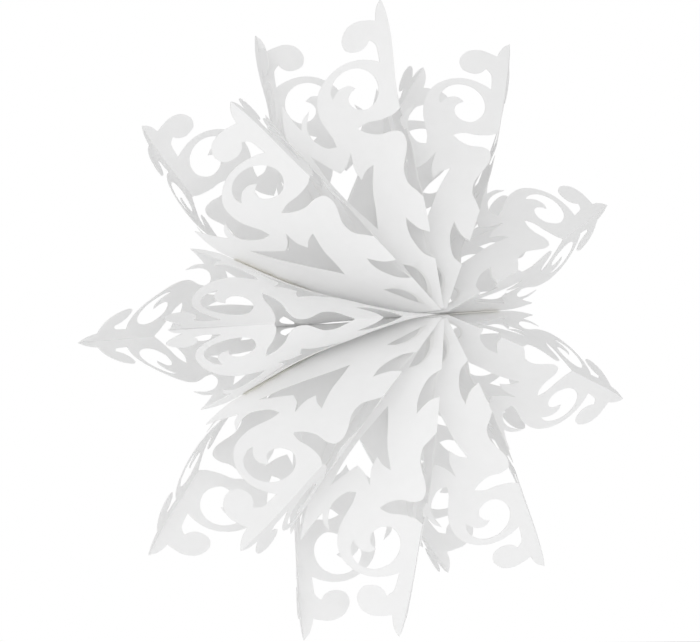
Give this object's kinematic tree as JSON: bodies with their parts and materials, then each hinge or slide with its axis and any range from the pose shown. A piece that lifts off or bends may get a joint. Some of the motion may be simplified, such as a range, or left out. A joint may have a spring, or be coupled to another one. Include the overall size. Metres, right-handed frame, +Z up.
{
  "type": "paper snowflake star",
  "caption": "Hanging paper star: die-cut folded paper bags glued side by side in a full circle, with open tulip, scroll and leaf cut-outs and pointed tips; it folds flat as a fan.",
  "frame": {"origin": "middle of the star, on the hub axis, halfway between the front folds and the back folds", "axes": "+Y along the hub axis towards the back; the star's front faces -Y; +Z up, the top bag leans 10.7 degrees from +Z towards -X; +X to the right seen from the front"},
  "size_m": [0.3915, 0.138, 0.3948],
  "materials": {
    "white_paper": "matte uncoated white card, die-cut, lit softly",
    "dry_glue": "thin dried white glue line",
    "closing_tape": "thin double-sided tape, satin"
  },
  "bodies": {
    "bag_1": {"paper_bag_1": "white_paper", "glue_line_1_2": "dry_glue", "glue_line_9_1": "dry_glue"},
    "bag_2": {"paper_bag_2": "white_paper", "glue_line_2_3": "dry_glue"},
    "bag_3": {"paper_bag_3": "white_paper", "glue_line_3_4": "dry_glue"},
    "bag_4": {"paper_bag_4": "white_paper", "glue_line_4_5": "dry_glue"},
    "bag_5": {"paper_bag_5": "white_paper", "closing_tape": "closing_tape"},
    "bag_6": {"paper_bag_6": "white_paper"},
    "bag_7": {"paper_bag_7": "white_paper", "glue_line_6_7": "dry_glue"},
    "bag_8": {"paper_bag_8": "white_paper", "glue_line_7_8": "dry_glue"},
    "bag_9": {"paper_bag_9": "white_paper", "glue_line_8_9": "dry_glue"}
  },
  "joints": [
    {"name": "fan_1_2", "type": "hinge", "parent": "bag_1", "child": "bag_2", "pos_m": [0, 0, 0], "axis": [0, -1, 0], "range_deg": [0, 36], "deforming": ["paper_bag_1", "glue_line_1_2", "glue_line_9_1", "paper_bag_2", "glue_line_2_3"]},
    {"name": "fan_2_3", "type": "hinge", "parent": "bag_2", "child": "bag_3", "pos_m": [0, 0, 0], "axis": [0, -1, 0], "range_deg": [0, 36], "deforming": ["paper_bag_3", "glue_line_3_4"]},
    {"name": "fan_3_4", "type": "hinge", "parent": "bag_3", "child": "bag_4", "pos_m": [0, 0, 0], "axis": [0, -1, 0], "range_deg": [0, 36], "deforming": ["paper_bag_4", "glue_line_4_5"]},
    {"name": "fan_4_5", "type": "hinge", "parent": "bag_4", "child": "bag_5", "pos_m": [0, 0, 0], "axis": [0, -1, 0], "range_deg": [0, 36], "deforming": ["paper_bag_5", "closing_tape"]},
    {"name": "fan_1_9", "type": "hinge", "parent": "bag_1", "child": "bag_9", "pos_m": [0, 0, 0], "axis": [0, 1, 0], "range_deg": [0, 36], "deforming": ["paper_bag_9", "glue_line_8_9"]},
    {"name": "fan_9_8", "type": "hinge", "parent": "bag_9", "child": "bag_8", "pos_m": [0, 0, 0], "axis": [0, 1, 0], "range_deg": [0, 36], "deforming": ["paper_bag_8", "glue_line_7_8"]},
    {"name": "fan_8_7", "type": "hinge", "parent": "bag_8", "child": "bag_7", "pos_m": [0, 0, 0], "axis": [0, 1, 0], "range_deg": [0, 36], "deforming": ["paper_bag_7", "glue_line_6_7"]},
    {"name": "fan_7_6", "type": "hinge", "parent": "bag_7", "child": "bag_6", "pos_m": [0, 0, 0], "axis": [0, 1, 0], "range_deg": [0, 36], "deforming": ["paper_bag_6"]}
  ],
  "couplings": [
    {"joint": "fan_2_3", "follows": "fan_1_2", "ratio": 1},
    {"joint": "fan_3_4", "follows": "fan_1_2", "ratio": 1},
    {"joint": "fan_4_5", "follows": "fan_1_2", "ratio": 1},
    {"joint": "fan_1_9", "follows": "fan_1_2", "ratio": 1},
    {"joint": "fan_9_8", "follows": "fan_1_2", "ratio": 1},
    {"joint": "fan_8_7", "follows": "fan_1_2", "ratio": 1},
    {"joint": "fan_7_6", "follows": "fan_1_2", "ratio": 1}
  ]
}
